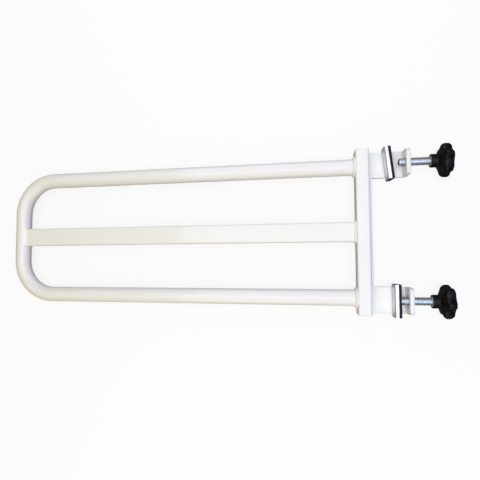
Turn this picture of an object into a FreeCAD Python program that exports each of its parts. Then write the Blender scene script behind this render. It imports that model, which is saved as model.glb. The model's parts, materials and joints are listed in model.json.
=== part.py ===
import FreeCAD, Part
import math
import operator
import os

import Sketcher
from FreeCAD import Placement, Rotation, Vector

# A welded grab frame that clamps sideways onto a rail. A round tube bent into
# a long U and a flat middle bar are welded to an upright cross tube. A folded
# steel bracket behind the cross tube carries two screw clamps. Each clamp has
# a six-lobed knob, a screw in the bracket's turned-up flange, a swivel button
# on the screw's tip and a sliding jaw that straddles the bracket's arm.
#
# Origin: middle of the cross tube's right wall, level with both screw axes.
# +X runs along the screws towards the knobs, +Y up the cross tube and
# +Z towards the open front of the bracket. Millimetres and degrees.

SIZES = (
    # long U tube
    ("tube_diameter", 25.0),
    ("tube_wall", 1.5),
    ("tube_spacing", 200.0),
    ("bend_radius", 60.0),
    ("loop_reach", 577.0),
    # flat middle bar, coped round the end of the U
    ("bar_height", 30.0),
    ("bar_depth", 15.0),
    ("bar_wall", 1.5),
    ("bar_corner", 3.0),
    ("cope_gap", 0.05),
    # upright cross tube and its moulded end plugs
    ("cross_width", 20.0),
    ("cross_depth", 30.0),
    ("cross_overhang", 24.0),
    ("cross_wall", 2.0),
    ("cross_corner", 3.0),
    ("cap_thickness", 1.2),
    ("cap_bevel", 0.8),
    ("plug_depth", 12.0),
    ("plug_wall", 1.6),
    ("plug_gap", 0.1),
    # folded clamp bracket
    ("plate_thickness", 6.0),
    ("spine_width", 6.0),
    ("arm_width", 40.0),
    ("arm_root_radius", 2.5),
    ("mouth", 52.5),
    ("bend_inside", 3.0),
    ("flange_height", 24.0),
    ("flange_taper", 1.0),
    ("flange_corner", 4.5),
    ("screw_height", 12.0),
    # weld beads
    ("ring_bead", 3.4),
    ("ring_swell", 0.5),
    ("ring_sink", 2.0),
    ("bar_bead", 2.8),
    ("bead_slope", 45.0),
    ("stitch_bead", 2.5),
    ("stitch_lift", 0.7),
    ("groove_bead", 1.7),
    ("groove_inset", 1.0),
    ("groove_lift", 1.2),
    ("stitch_length", 44.0),
    ("stitch_spacing", 92.0),
    # clamp screw and swivel button
    ("screw_diameter", 12.0),
    ("screw_play", 0.05),
    ("screw_chamfer", 0.8),
    ("button_diameter", 10.4),
    ("button_length", 4.2),
    ("button_flat", 4.0),
    ("button_bevel", 1.5),
    ("button_gap", 0.1),
    ("neck_diameter", 3.6),
    ("neck_length", 1.2),
    ("head_diameter", 4.8),
    ("head_length", 1.4),
    # knob and its metal insert
    ("knob_reach", 45.3),
    ("knob_diameter", 50.0),
    ("hub_diameter", 20.0),
    ("hub_length", 9.4),
    ("hub_bevel", 0.8),
    ("back_length", 4.5),
    ("back_radius", 20.9),
    ("shoulder_length", 2.8),
    ("shoulder_radius", 24.1),
    ("back_bevel", 2.6),
    ("rim_thickness", 3.0),
    ("front_bevel", 4.0),
    ("front_radius", 23.1),
    ("crown_bevel", 2.0),
    ("crown_radius", 19.0),
    ("crown_rise", 0.7),
    ("lobes", 6.0),
    ("valley_radius", 11.0),
    ("valley_floor", 18.3),
    ("insert_diameter", 14.5),
    ("insert_length", 15.0),
    ("insert_stand", 0.3),
    ("insert_bevel", 0.5),
    ("screw_stop", 1.0),
    ("moulded_gap", 0.02),
    # sliding jaw: moulded core and bright shell
    ("jaw_length", 49.0),
    ("jaw_width", 10.6),
    ("jaw_crown", 7.3),
    ("jaw_lift", 0.3),
    ("band_width", 3.6),
    ("shell_wall", 1.5),
    ("shell_gap", 0.05),
    ("shell_ledge", 1.0),
    ("pocket_diameter", 12.0),
    ("seat_depth", 3.2),
    ("seat_gap", 0.3),
    ("leg_width", 7.5),
    ("leg_play", 1.3),
    ("hook_reach", 2.8),
    ("hook_thickness", 3.0),
    # where the two clamps stand
    ("upper_tip", 42.7),
    ("upper_slack", 11.0),
    ("upper_jaw_tilt", 6.5),
    ("upper_knob_turn", 47.0),
    ("lower_tip", 39.5),
    ("lower_slack", 0.0),
    ("lower_jaw_tilt", 0.0),
    ("lower_knob_turn", 11.4),
)

OPERATIONS = {
    "+": operator.add,
    "-": operator.sub,
    "*": operator.mul,
    "/": operator.truediv,
}


class Size:
    """A size from the sheet, or a formula made of such sizes, with its value."""

    def __init__(self, value, formula):
        self.value = float(value)
        self.formula = formula

    def __add__(self, other):
        return combined(self, "+", other)

    def __sub__(self, other):
        return combined(self, "-", other)

    def __mul__(self, other):
        return combined(self, "*", other)

    def __truediv__(self, other):
        return combined(self, "/", other)

    def __radd__(self, other):
        return combined(other, "+", self)

    def __rsub__(self, other):
        return combined(other, "-", self)

    def __rmul__(self, other):
        return combined(other, "*", self)

    def __neg__(self):
        return combined(0, "-", self)


def sized(number):
    if isinstance(number, Size):
        return number
    return Size(number, f"{float(number)}")


def combined(left, sign, right):
    left = sized(left)
    right = sized(right)
    value = OPERATIONS[sign](left.value, right.value)
    return Size(value, f"({left.formula} {sign} {right.formula})")


def square_root(size):
    return Size(math.sqrt(size.value), f"sqrt({size.formula})")


def bind(thing, path, size):
    thing.setExpression(path, sized(size).formula)


# ---------------------------------------------------------------------------
# the document and its sheet of driving sizes

doc = FreeCAD.newDocument("clamp_on_grab_frame")
sheet = doc.addObject("Spreadsheet::Sheet", "dims")


class Sheet:
    """The sheet's sizes, read by name."""


dim = Sheet()
for row, (name, number) in enumerate(SIZES, start=1):
    sheet.set(f"A{row}", name)
    sheet.set(f"B{row}", f"{number}")
    sheet.setAlias(f"B{row}", name)
    setattr(dim, name, Size(number, f"dims.{name}"))
doc.recompute()

# places that several pieces share
plate_front = -dim.screw_height
plate_back = plate_front - dim.plate_thickness
rail_level = plate_back + dim.cross_depth / 2
tube_radius = dim.tube_diameter / 2
cross_left = -dim.cross_width
loop_end = cross_left - dim.loop_reach
cross_end = dim.tube_spacing / 2 + dim.cross_overhang
cross_length = 2 * cross_end
arm_centre = cross_end - dim.arm_width / 2
flange_outside = dim.mouth + dim.plate_thickness
fold_start = dim.mouth - dim.bend_inside
fold_outside = dim.bend_inside + dim.plate_thickness
fold_top = plate_front + dim.bend_inside
screw_radius = dim.screw_diameter / 2
jaw_round = dim.jaw_width / 2
jaw_centre_height = dim.jaw_crown - jaw_round
jaw_bottom = plate_front + dim.jaw_lift
tip_seat = jaw_round - dim.seat_depth


# ---------------------------------------------------------------------------
# sketches and features

def new_body(label, placement=None):
    body = doc.addObject("PartDesign::Body", label)
    body.Label = label
    if placement:
        body.Placement = placement
    return body


def new_sketch(body, name, plane, offset=0):
    """A sketch on one of the body's own origin planes, lifted by offset."""
    sketch = body.newObject("Sketcher::SketchObject", f"{body.Name}_{name}")
    for item in body.Origin.OriginFeatures:
        if item.Role == plane:
            sketch.AttachmentSupport = (item, [""])
    sketch.MapMode = "FlatFace"
    bind(sketch, ".AttachmentOffset.Base.z", offset)
    return sketch


def fix(sketch, constraint, size):
    index = sketch.addConstraint(constraint)
    bind(sketch, f"Constraints[{index}]", size)


def place(sketch, geometry, end, corner):
    """Hold one end of a line or arc at the corner's distances from the origin."""
    for kind, size in (("DistanceX", corner[0]), ("DistanceY", corner[1])):
        size = sized(size)
        fix(sketch, Sketcher.Constraint(kind, -1, 1, geometry, end, size.value), size)


def arc_between(start, finish, radius, turn):
    """The shorter arc from start to finish, bending left (1) or right (-1)."""
    chord = finish - start
    aside = Vector(-chord.y, chord.x, 0).normalize() * turn
    height = math.sqrt(max(radius ** 2 - chord.Length ** 2 / 4, 0))
    centre = (start + finish) * 0.5 + aside * height
    angles = [math.atan2(end.y - centre.y, end.x - centre.x) for end in (start, finish)]
    if turn < 0:
        angles.reverse()
    if angles[1] < angles[0]:
        angles[1] += 2 * math.pi
    return Part.ArcOfCircle(Part.Circle(centre, Vector(0, 0, 1), radius), *angles)


def draw(sketch, corners, closed=True):
    """Lines and arcs from corner to corner. A corner is (across, up); with
    (across, up, radius, turn) the side that leaves it is an arc."""
    points = [Vector(sized(c[0]).value, sized(c[1]).value, 0) for c in corners]
    sides = len(corners) if closed else len(corners) - 1
    ends = []
    for index in range(sides):
        start = points[index]
        finish = points[(index + 1) % len(points)]
        if len(corners[index]) == 2:
            ends.append((sketch.addGeometry(Part.LineSegment(start, finish)), 1, 2))
            continue
        radius = sized(corners[index][2])
        turn = corners[index][3]
        arc = sketch.addGeometry(arc_between(start, finish, radius.value, turn))
        fix(sketch, Sketcher.Constraint("Radius", arc, radius.value), radius)
        ends.append((arc, 1, 2) if turn > 0 else (arc, 2, 1))
    for index, (geometry, start, finish) in enumerate(ends):
        place(sketch, geometry, start, corners[index])
        if closed or index + 1 < sides:
            next_geometry, next_start, _ = ends[(index + 1) % sides]
            joint = (geometry, finish, next_geometry, next_start)
            sketch.addConstraint(Sketcher.Constraint("Coincident", *joint))
    if not closed:
        place(sketch, ends[-1][0], ends[-1][2], corners[-1])


def draw_circle(sketch, across, up, radius):
    across, up, radius = sized(across), sized(up), sized(radius)
    centre = Vector(across.value, up.value, 0)
    circle = sketch.addGeometry(Part.Circle(centre, Vector(0, 0, 1), radius.value))
    place(sketch, circle, 3, (across, up))
    fix(sketch, Sketcher.Constraint("Radius", circle, radius.value), radius)


def rectangle(left, right, bottom, top):
    return ((left, bottom), (right, bottom), (right, top), (left, top))


def rounded_rectangle(across, up, width, height, radius):
    """A rectangle about a centre, with its four corners rounded."""
    left, right = across - width / 2, across + width / 2
    bottom, top = up - height / 2, up + height / 2
    return (
        (left + radius, bottom),
        (right - radius, bottom, radius, 1),
        (right, bottom + radius),
        (right, top - radius, radius, 1),
        (right - radius, top),
        (left + radius, top, radius, 1),
        (left, top - radius),
        (left, bottom + radius, radius, 1),
    )


def pad(body, sketch, length, symmetric=False, reverse=False):
    feature = body.newObject("PartDesign::Pad", f"{sketch.Name}_pad")
    feature.Profile = sketch
    bind(feature, "Length", length)
    feature.SideType = "Symmetric" if symmetric else "One side"
    feature.Reversed = reverse
    return feature


def pocket_through(body, sketch):
    """Cut the sketch right through the body, both ways."""
    feature = body.newObject("PartDesign::Pocket", f"{sketch.Name}_pocket")
    feature.Profile = sketch
    feature.SideType = "Symmetric"
    feature.Type = "ThroughAll"
    return feature


def pocket_ahead(body, sketch):
    """Cut away everything on the side that the sketch's normal points to."""
    feature = body.newObject("PartDesign::Pocket", f"{sketch.Name}_pocket")
    feature.Profile = sketch
    feature.Type = "ThroughAll"
    feature.Reversed = True
    return feature


def turned(body, sketch):
    """Turn a profile drawn above the body's X axis into a solid of revolution."""
    feature = body.newObject("PartDesign::Revolution", f"{sketch.Name}_turned")
    feature.Profile = sketch
    feature.ReferenceAxis = (sketch, ["H_Axis"])
    feature.Angle = 360
    return feature


def mirrored(body, originals, plane):
    feature = body.newObject("PartDesign::Mirrored", f"{body.Name}_mirrored")
    feature.Originals = originals
    for item in body.Origin.OriginFeatures:
        if item.Role == plane:
            feature.MirrorPlane = (item, [""])
    body.Tip = feature
    return feature


def edges_where(shape, test):
    return [f"Edge{number}" for number, edge in enumerate(shape.Edges, start=1) if test(edge)]


def eased(body, kind, field, size, test):
    """Fillet or chamfer the edges of the body's tip that pass the test."""
    doc.recompute()
    base = body.Tip
    feature = body.newObject(f"PartDesign::{kind}", f"{body.Name}_{kind}")
    feature.Base = (base, edges_where(base.Shape, test))
    bind(feature, field, size)


# ---------------------------------------------------------------------------
# welded frame

def make_u_tube():
    """Round tube, one leg above the other, joined by two bends at the far end."""
    body = new_body("u_tube")
    leg = dim.tube_spacing / 2
    bend = dim.bend_radius
    path = new_sketch(body, "path", "XY_Plane", rail_level)
    draw(path, (
        (cross_left, leg),
        (loop_end + bend, leg, bend, 1),
        (loop_end, leg - bend),
        (loop_end, bend - leg, bend, 1),
        (loop_end + bend, -leg),
        (cross_left, -leg),
    ), closed=False)
    section = new_sketch(body, "section", "YZ_Plane", cross_left)
    draw_circle(section, leg, rail_level, tube_radius)
    draw_circle(section, leg, rail_level, tube_radius - dim.tube_wall)
    doc.recompute()
    pipe = body.newObject("PartDesign::AdditivePipe", "u_tube_pipe")
    pipe.Profile = section
    pipe.Spine = (path, edges_where(path.Shape, lambda edge: True))
    return body


def make_middle_bar():
    """Flat-sided tube from the cross tube to the far end of the U."""
    body = new_body("middle_bar")
    wall = 2 * dim.bar_wall
    section = new_sketch(body, "section", "YZ_Plane", cross_left)
    draw(section, rounded_rectangle(
        sized(0), rail_level, dim.bar_height, dim.bar_depth, dim.bar_corner))
    draw(section, rounded_rectangle(
        sized(0), rail_level, dim.bar_height - wall, dim.bar_depth - wall,
        dim.bar_corner - dim.bar_wall))
    pad(body, section, dim.loop_reach, reverse=True)
    cope = new_sketch(body, "cope", "XZ_Plane")
    draw_circle(cope, loop_end, rail_level, tube_radius + dim.cope_gap)
    pocket_through(body, cope)
    return body


def cross_outline():
    return rounded_rectangle(
        cross_left / 2, rail_level, dim.cross_width, dim.cross_depth, dim.cross_corner)


def make_cross_tube():
    """Upright rectangular tube whose right wall is the fixed jaw."""
    body = new_body("cross_tube")
    wall = 2 * dim.cross_wall
    section = new_sketch(body, "section", "XZ_Plane")
    draw(section, cross_outline())
    draw(section, rounded_rectangle(
        cross_left / 2, rail_level, dim.cross_width - wall, dim.cross_depth - wall,
        dim.cross_corner - dim.cross_wall))
    pad(body, section, cross_length, symmetric=True)
    return body


def make_end_plug(label, side):
    """Moulded cap with a hollow stem pushed into one end of the cross tube."""
    body = new_body(label, Placement(Vector(), Rotation(Vector(1, 0, 0), -90 * side)))
    bind(body, ".Placement.Base.x", cross_left / 2)
    bind(body, ".Placement.Base.y", cross_end * side)
    bind(body, ".Placement.Base.z", rail_level)
    cap = new_sketch(body, "cap", "XY_Plane")
    draw(cap, rounded_rectangle(
        sized(0), sized(0), dim.cross_width, dim.cross_depth, dim.cross_corner))
    pad(body, cap, dim.cap_thickness)
    cap_middle = dim.cap_thickness.value / 2
    eased(body, "Chamfer", "Size", dim.cap_bevel, lambda edge: edge.BoundBox.ZMin > cap_middle)
    stem_width = dim.cross_width - 2 * (dim.cross_wall + dim.plug_gap)
    stem_depth = dim.cross_depth - 2 * (dim.cross_wall + dim.plug_gap)
    stem_corner = dim.cross_corner - dim.cross_wall
    stem = new_sketch(body, "stem", "XY_Plane")
    draw(stem, rounded_rectangle(sized(0), sized(0), stem_width, stem_depth, stem_corner))
    draw(stem, rectangle(
        dim.plug_wall - stem_width / 2, stem_width / 2 - dim.plug_wall,
        dim.plug_wall - stem_depth / 2, stem_depth / 2 - dim.plug_wall))
    pad(body, stem, dim.plug_depth, reverse=True)
    return body


def make_clamp_bracket():
    """One plate: a spine on the cross tube, two arms, and a flange folded up
    at the end of each arm with the tapped hole for the clamp screw."""
    body = new_body("clamp_bracket")
    inner = arm_centre - dim.arm_width / 2
    root = dim.arm_root_radius
    plate = new_sketch(body, "plate", "XY_Plane", plate_back)
    draw(plate, (
        (sized(0), -cross_end),
        (fold_start, -cross_end),
        (fold_start, -inner),
        (dim.spine_width + root, -inner, root, -1),
        (dim.spine_width, root - inner),
        (dim.spine_width, inner - root, root, -1),
        (dim.spine_width + root, inner),
        (fold_start, inner),
        (fold_start, cross_end),
        (sized(0), cross_end),
    ))
    pad(body, plate, dim.plate_thickness)
    fold = new_sketch(body, "fold", "XZ_Plane", -arm_centre)
    draw(fold, (
        (fold_start, plate_back, fold_outside, 1),
        (flange_outside, fold_top),
        (dim.mouth, fold_top, dim.bend_inside, -1),
        (fold_start, plate_front),
    ))
    fold_pad = pad(body, fold, dim.arm_width, symmetric=True)
    flange = new_sketch(body, "flange", "YZ_Plane", dim.mouth)
    flange_edge = plate_front + dim.flange_height
    draw(flange, (
        (inner, fold_top),
        (cross_end, fold_top),
        (cross_end - dim.flange_taper, flange_edge),
        (inner + dim.flange_taper, flange_edge),
    ))
    flange_pad = pad(body, flange, dim.plate_thickness)
    bore = new_sketch(body, "bore", "YZ_Plane", dim.mouth)
    draw_circle(bore, arm_centre, sized(0), screw_radius + dim.screw_play)
    bore_cut = pocket_through(body, bore)
    mirrored(body, [fold_pad, flange_pad, bore_cut], "XZ_Plane")

    def front_corner(edge):
        along = edge.BoundBox.XLength > dim.plate_thickness.value / 2
        return along and edge.BoundBox.ZMin > flange_edge.value / 2

    eased(body, "Fillet", "Radius", dim.flange_corner, front_corner)
    return body


# ---------------------------------------------------------------------------
# weld beads, each trimmed by the steel that it joins

def primitive(kind, name, sizes, at=(0, 0, 0), turn=None):
    thing = doc.addObject(kind, name)
    for field, size in sizes.items():
        bind(thing, field, size)
    if turn:
        thing.Placement = Placement(Vector(), Rotation(*turn))
    for letter, size in zip("xyz", at):
        bind(thing, f".Placement.Base.{letter}", size)
    return thing


def boolean(kind, name, base, tool):
    thing = doc.addObject(kind, name)
    thing.Base = base
    thing.Tool = tool
    return thing


def joined(name, shapes):
    thing = doc.addObject("Part::MultiFuse", name)
    thing.Shapes = shapes
    return thing


def cylinder_along_y(name, radius, length, centre):
    """A solid bar, centred on a point."""
    across, height, level = centre
    sizes = {"Radius": radius, "Height": length}
    start = (across, height - length / 2, level)
    return primitive("Part::Cylinder", name, sizes, start, (Vector(1, 0, 0), -90))


def cone_along_y(name, radius, end_radius, length, centre, side):
    """A cone that starts at a point and narrows up (1) or down (-1)."""
    sizes = {"Radius1": radius, "Radius2": end_radius, "Height": length}
    return primitive("Part::Cone", name, sizes, centre, (Vector(1, 0, 0), -90 * side))


def solid_prism(name, plane, outline, offset, length, **how):
    """A plain solid that only trims the beads and is not a piece itself."""
    body = new_body(name)
    section = new_sketch(body, "section", plane, offset)
    draw(section, outline)
    pad(body, section, length, **how)
    return body


cross_solid = solid_prism(
    "cross_solid", "XZ_Plane", cross_outline(), 0, cross_length, symmetric=True)
bar_solid = solid_prism(
    "bar_solid", "YZ_Plane",
    rounded_rectangle(sized(0), rail_level, dim.bar_height, dim.bar_depth, dim.bar_corner),
    cross_left, dim.loop_reach, reverse=True)


def make_ring(name, height):
    """Bead round one tube leg, sunk a little so that it wraps the corners."""
    ring = new_body(name)
    bind(ring, ".Placement.Base.x", cross_left)
    bind(ring, ".Placement.Base.y", height)
    bind(ring, ".Placement.Base.z", rail_level)
    bead = dim.ring_bead
    middle = bead / 2 + dim.ring_swell
    profile = new_sketch(ring, "profile", "XZ_Plane")
    draw(profile, (
        (-bead, tube_radius),
        (dim.ring_sink, tube_radius),
        (dim.ring_sink, tube_radius + bead),
        (sized(0), tube_radius + bead),
        (-middle, tube_radius + middle),
    ))
    turned(ring, profile)
    return ring


def make_rail_welds():
    """Ring beads where both tube legs and the bar meet the cross tube, and a
    bead all round the bar's coped end."""
    leg = dim.tube_spacing / 2
    bead = dim.bar_bead
    bar_ring = new_body("bar_ring")
    outline = new_sketch(bar_ring, "outline", "YZ_Plane", cross_left)
    draw(outline, rounded_rectangle(
        sized(0), rail_level, dim.bar_height + 2 * bead, dim.bar_depth + 2 * bead,
        dim.bar_corner + bead))
    bar_pad = pad(bar_ring, outline, bead, reverse=True)
    bind(bar_pad, "TaperAngle", -dim.bead_slope)
    at_wall = boolean(
        "Part::Cut", "wall_beads",
        joined("wall_rings", [make_ring("upper_ring", leg), make_ring("lower_ring", -leg)]),
        cross_solid)
    at_bar = boolean("Part::Cut", "bar_bead", bar_ring, bar_solid)

    # coped end of the bar: cones above and below it, straight runs before and
    # behind it, kept to the side of the loop that faces the bar
    half_depth = dim.bar_depth / 2
    reach = square_root(tube_radius * tube_radius - half_depth * half_depth)
    loop_solid = cylinder_along_y(
        "loop_solid", tube_radius, dim.tube_spacing - 2 * dim.bend_radius,
        (loop_end, sized(0), rail_level))
    runs = []
    for name, side in (("top", 1), ("bottom", -1)):
        at = (loop_end, dim.bar_height / 2 * side, rail_level)
        runs.append(cone_along_y(
            f"cope_{name}", tube_radius + bead, tube_radius, bead, at, side))
    for name, side in (("front", 1), ("back", -1)):
        at = (loop_end + reach, sized(0), rail_level + half_depth * side)
        runs.append(cylinder_along_y(f"cope_{name}", bead, dim.bar_height, at))
    window_height = dim.bar_height + 2 * bead
    window_depth = dim.bar_depth + 2 * bead
    window = primitive(
        "Part::Box", "cope_window",
        {"Length": dim.tube_diameter, "Width": window_height, "Height": window_depth},
        (loop_end + reach - bead, -window_height / 2, rail_level - window_depth / 2))
    at_loop = boolean(
        "Part::Cut", "loop_beads",
        boolean("Part::Common", "loop_beads_inside", joined("cope_runs", runs), window),
        joined("loop_and_bar", [loop_solid, bar_solid]))
    welds = joined("rail_welds", [at_wall, at_bar, at_loop])
    welds.Label = "rail_welds"
    return welds


def make_bracket_welds(bracket):
    """Stitches of weld along the spine: a fillet in front and a filled groove
    behind, where the cross tube's rounded corner leaves one."""
    stitches = []
    rows = (
        ("fillet", dim.stitch_bead, dim.stitch_lift, plate_front + dim.stitch_lift),
        ("groove", dim.groove_bead, -dim.groove_inset, plate_back + dim.groove_lift),
    )
    for row_name, radius, across, level in rows:
        for number in (-1, 0, 1):
            centre = dim.stitch_spacing * number
            label = f"{row_name}_{number + 2}"
            stitches.append(cylinder_along_y(
                f"{label}_run", radius, dim.stitch_length, (across, centre, level)))
            for side in (-1, 1):
                at = (across, centre + dim.stitch_length / 2 * side, level)
                stitches.append(cone_along_y(
                    f"{label}_end_{side + 2}", radius, radius / 2, radius / 2, at, side))
    outside = boolean(
        "Part::Cut", "stitches_outside", joined("stitches", stitches), bracket)
    welds = boolean("Part::Cut", "bracket_welds", outside, cross_solid)
    welds.Label = "bracket_welds"
    return welds


# ---------------------------------------------------------------------------
# screw clamps, drawn with their own X axis along the screw

def clamp_body(label, across, height, turn):
    body = new_body(label, Placement(Vector(), Rotation(turn, 0)))
    bind(body, ".Placement.Base.x", across)
    bind(body, ".Placement.Base.y", height)
    return body


neck_end = dim.button_length + dim.button_gap
head_end = neck_end - dim.neck_length
head_start = head_end - dim.head_length


def make_tip_button(label, tip, height):
    """Button with an eased face that swivels on the screw's undercut tip."""
    body = clamp_body(label, tip, height, Vector(1, 0, 0))
    button_radius = dim.button_diameter / 2
    throat = dim.neck_diameter / 2 + dim.button_gap
    cavity = dim.head_diameter / 2 + dim.button_gap
    profile = new_sketch(body, "profile", "XZ_Plane")
    draw(profile, (
        (sized(0), sized(0)),
        (head_start - dim.button_gap, sized(0)),
        (head_start - dim.button_gap, cavity),
        (head_end + dim.button_gap, cavity),
        (head_end + dim.button_gap, throat),
        (dim.button_length, throat),
        (dim.button_length, button_radius),
        (dim.button_bevel, button_radius),
        (sized(0), dim.button_flat / 2),
    ))
    turned(body, profile)
    return body


def make_screw(label, tip, height):
    """Clamp screw with a headed tip inside the button."""
    body = clamp_body(label, tip, height, Vector(1, 0, 0))
    bevel = dim.screw_chamfer
    head = dim.head_diameter / 2
    neck = dim.neck_diameter / 2
    end = dim.knob_reach - dim.insert_stand + dim.insert_length - dim.screw_stop
    profile = new_sketch(body, "profile", "XZ_Plane")
    draw(profile, (
        (head_start, sized(0)),
        (end, sized(0)),
        (end, screw_radius - bevel),
        (end - bevel, screw_radius),
        (neck_end + bevel, screw_radius),
        (neck_end, screw_radius - bevel),
        (neck_end, neck),
        (head_end, neck),
        (head_end, head),
        (head_start, head),
    ))
    turned(body, profile)
    return body


def make_knob_insert(label, tip, height):
    """Bevelled metal bush moulded into the knob and fixed on the screw."""
    body = clamp_body(label, tip, height, Vector(1, 0, 0))
    start = dim.knob_reach - dim.insert_stand
    end = start + dim.insert_length
    outside = dim.insert_diameter / 2
    inside = screw_radius + dim.moulded_gap
    bevel = dim.insert_bevel
    profile = new_sketch(body, "profile", "XZ_Plane")
    draw(profile, (
        (start, inside + bevel),
        (start + bevel, inside),
        (end, inside),
        (end, outside),
        (start + bevel, outside),
        (start, outside - bevel),
    ))
    turned(body, profile)
    return body


def make_knob(label, tip, height, turn):
    """Moulded grip: round hub, sloping back, thick eased rim and low crown,
    with finger valleys cut round the rim."""
    body = clamp_body(label, tip, height, Vector(1, 0, 0))
    bind(body, ".Placement.Rotation.Angle", turn)
    hub = dim.hub_diameter / 2
    rim = dim.knob_diameter / 2
    hub_face = dim.knob_reach
    hub_end = hub_face + dim.hub_length
    back_end = hub_end + dim.back_length
    shoulder_end = back_end + dim.shoulder_length
    rim_back = shoulder_end + dim.back_bevel
    rim_front = rim_back + dim.rim_thickness
    front_end = rim_front + dim.front_bevel
    crown_edge = front_end + dim.crown_bevel
    cavity_end = hub_face - dim.insert_stand + dim.insert_length + dim.moulded_gap
    cavity = dim.insert_diameter / 2 + dim.moulded_gap
    profile = new_sketch(body, "profile", "XZ_Plane")
    draw(profile, (
        (cavity_end, sized(0)),
        (cavity_end, cavity),
        (hub_face, cavity),
        (hub_face, hub - dim.hub_bevel),
        (hub_face + dim.hub_bevel, hub),
        (hub_end, hub),
        (back_end, dim.back_radius),
        (shoulder_end, dim.shoulder_radius),
        (rim_back, rim),
        (rim_front, rim),
        (front_end, dim.front_radius),
        (crown_edge, dim.crown_radius),
        (crown_edge + dim.crown_rise, sized(0)),
    ))
    turned(body, profile)
    valley = new_sketch(body, "valley", "YZ_Plane")
    draw_circle(valley, dim.valley_floor + dim.valley_radius, sized(0), dim.valley_radius)
    cut = pocket_through(body, valley)
    pattern = body.newObject("PartDesign::PolarPattern", f"{label}_lobes")
    pattern.Originals = [cut]
    for item in body.Origin.OriginFeatures:
        if item.Role == "X_Axis":
            pattern.Axis = (item, [""])
    pattern.Angle = 360
    bind(pattern, "Occurrences", dim.lobes)
    body.Tip = pattern
    return body


def make_jaw_core(label, across, height, tilt):
    """Moulded slider: a rounded bar with a pocket for the button and two
    hooked legs that straddle the bracket's arm."""
    body = clamp_body(label, across, height, Vector(0, 0, 1))
    bind(body, ".Placement.Rotation.Angle", tilt)
    inset = dim.shell_wall + dim.shell_gap
    core_round = jaw_round - inset
    band_edge = jaw_round - dim.band_width
    outer_rise = square_root(jaw_round * jaw_round - band_edge * band_edge)
    inner_rise = square_root(core_round * core_round - band_edge * band_edge)
    ledge = jaw_bottom + dim.shell_ledge
    middle = jaw_centre_height
    section = new_sketch(body, "section", "XZ_Plane")
    draw(section, (
        (-jaw_round, jaw_bottom),
        (jaw_round, jaw_bottom),
        (jaw_round, middle, jaw_round, 1),
        (band_edge, middle + outer_rise),
        (band_edge, middle + inner_rise, core_round, 1),
        (-core_round, middle),
        (-core_round, ledge),
        (-jaw_round, ledge),
    ))
    pad(body, section, dim.jaw_length, symmetric=True)
    pocket = new_sketch(body, "pocket", "YZ_Plane", tip_seat - dim.seat_gap)
    draw_circle(pocket, sized(0), sized(0), dim.pocket_diameter / 2)
    pocket_ahead(body, pocket)
    leg_inside = dim.arm_width / 2 + dim.leg_play
    hook_top = plate_back - dim.jaw_lift
    hook_bottom = hook_top - dim.hook_thickness
    leg = new_sketch(body, "leg", "YZ_Plane")
    draw(leg, (
        (leg_inside, jaw_bottom),
        (leg_inside, hook_top),
        (leg_inside - dim.hook_reach, hook_top),
        (leg_inside, hook_bottom),
        (dim.jaw_length / 2, hook_bottom),
        (dim.jaw_length / 2, jaw_bottom),
    ))
    leg_pad = pad(body, leg, dim.leg_width, symmetric=True)
    mirrored(body, [leg_pad], "XZ_Plane")
    return body


def make_jaw_shell(label, across, height, tilt):
    """Bright pressed shell over the front and gripping side of the core."""
    body = clamp_body(label, across, height, Vector(0, 0, 1))
    bind(body, ".Placement.Rotation.Angle", tilt)
    inner_round = jaw_round - dim.shell_wall
    band_edge = jaw_round - dim.band_width
    outer_rise = square_root(jaw_round * jaw_round - band_edge * band_edge)
    inner_rise = square_root(inner_round * inner_round - band_edge * band_edge)
    foot = jaw_bottom + dim.shell_ledge
    middle = jaw_centre_height
    edge = band_edge - dim.shell_gap
    section = new_sketch(body, "section", "XZ_Plane")
    draw(section, (
        (-jaw_round, foot),
        (-inner_round, foot),
        (-inner_round, middle, inner_round, -1),
        (edge, middle + inner_rise),
        (edge, middle + outer_rise, jaw_round, 1),
        (-jaw_round, middle),
    ))
    pad(body, section, dim.jaw_length, symmetric=True)
    return body


# ---------------------------------------------------------------------------
# all pieces

bracket = make_clamp_bracket()
pieces = [
    make_u_tube(),
    make_middle_bar(),
    make_cross_tube(),
    make_end_plug("upper_end_plug", 1),
    make_end_plug("lower_end_plug", -1),
    bracket,
    make_rail_welds(),
    make_bracket_welds(bracket),
]
CLAMPS = (
    ("upper", 1, dim.upper_tip, dim.upper_slack, dim.upper_jaw_tilt, dim.upper_knob_turn),
    ("lower", -1, dim.lower_tip, dim.lower_slack, dim.lower_jaw_tilt, dim.lower_knob_turn),
)
for name, side, tip, slack, jaw_tilt, knob_turn in CLAMPS:
    height = arm_centre * side
    jaw_place = tip - tip_seat - slack
    pieces += [
        make_tip_button(f"{name}_tip_button", tip, height),
        make_screw(f"{name}_screw", tip, height),
        make_knob(f"{name}_knob", tip, height, knob_turn),
        make_knob_insert(f"{name}_knob_insert", tip, height),
        make_jaw_core(f"{name}_jaw_core", jaw_place, height, jaw_tilt),
        make_jaw_shell(f"{name}_jaw_shell", jaw_place, height, jaw_tilt),
    ]
doc.recompute()

for thing in doc.Objects:
    if "Invalid" in thing.State or "Error" in thing.State:
        raise RuntimeError(f"{thing.Name} did not build: {thing.State}")
for piece in pieces:
    if piece.Shape.isNull() or not piece.Shape.isValid():
        raise RuntimeError(f"{piece.Label} has no sound shape")

os.makedirs("parts", exist_ok=True)
for piece in pieces:
    piece.Shape.exportStep(f"parts/{piece.Label}.step")
    box = piece.Shape.BoundBox
    corners = [round(value, 2) for value in (
        box.XMin, box.YMin, box.ZMin, box.XMax, box.YMax, box.ZMax)]
    print(piece.Label, len(piece.Shape.Solids), round(piece.Shape.Volume, 1), corners)
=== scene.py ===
import json
import math

import bmesh
import bpy
from mathutils import Matrix, Vector, noise


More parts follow.
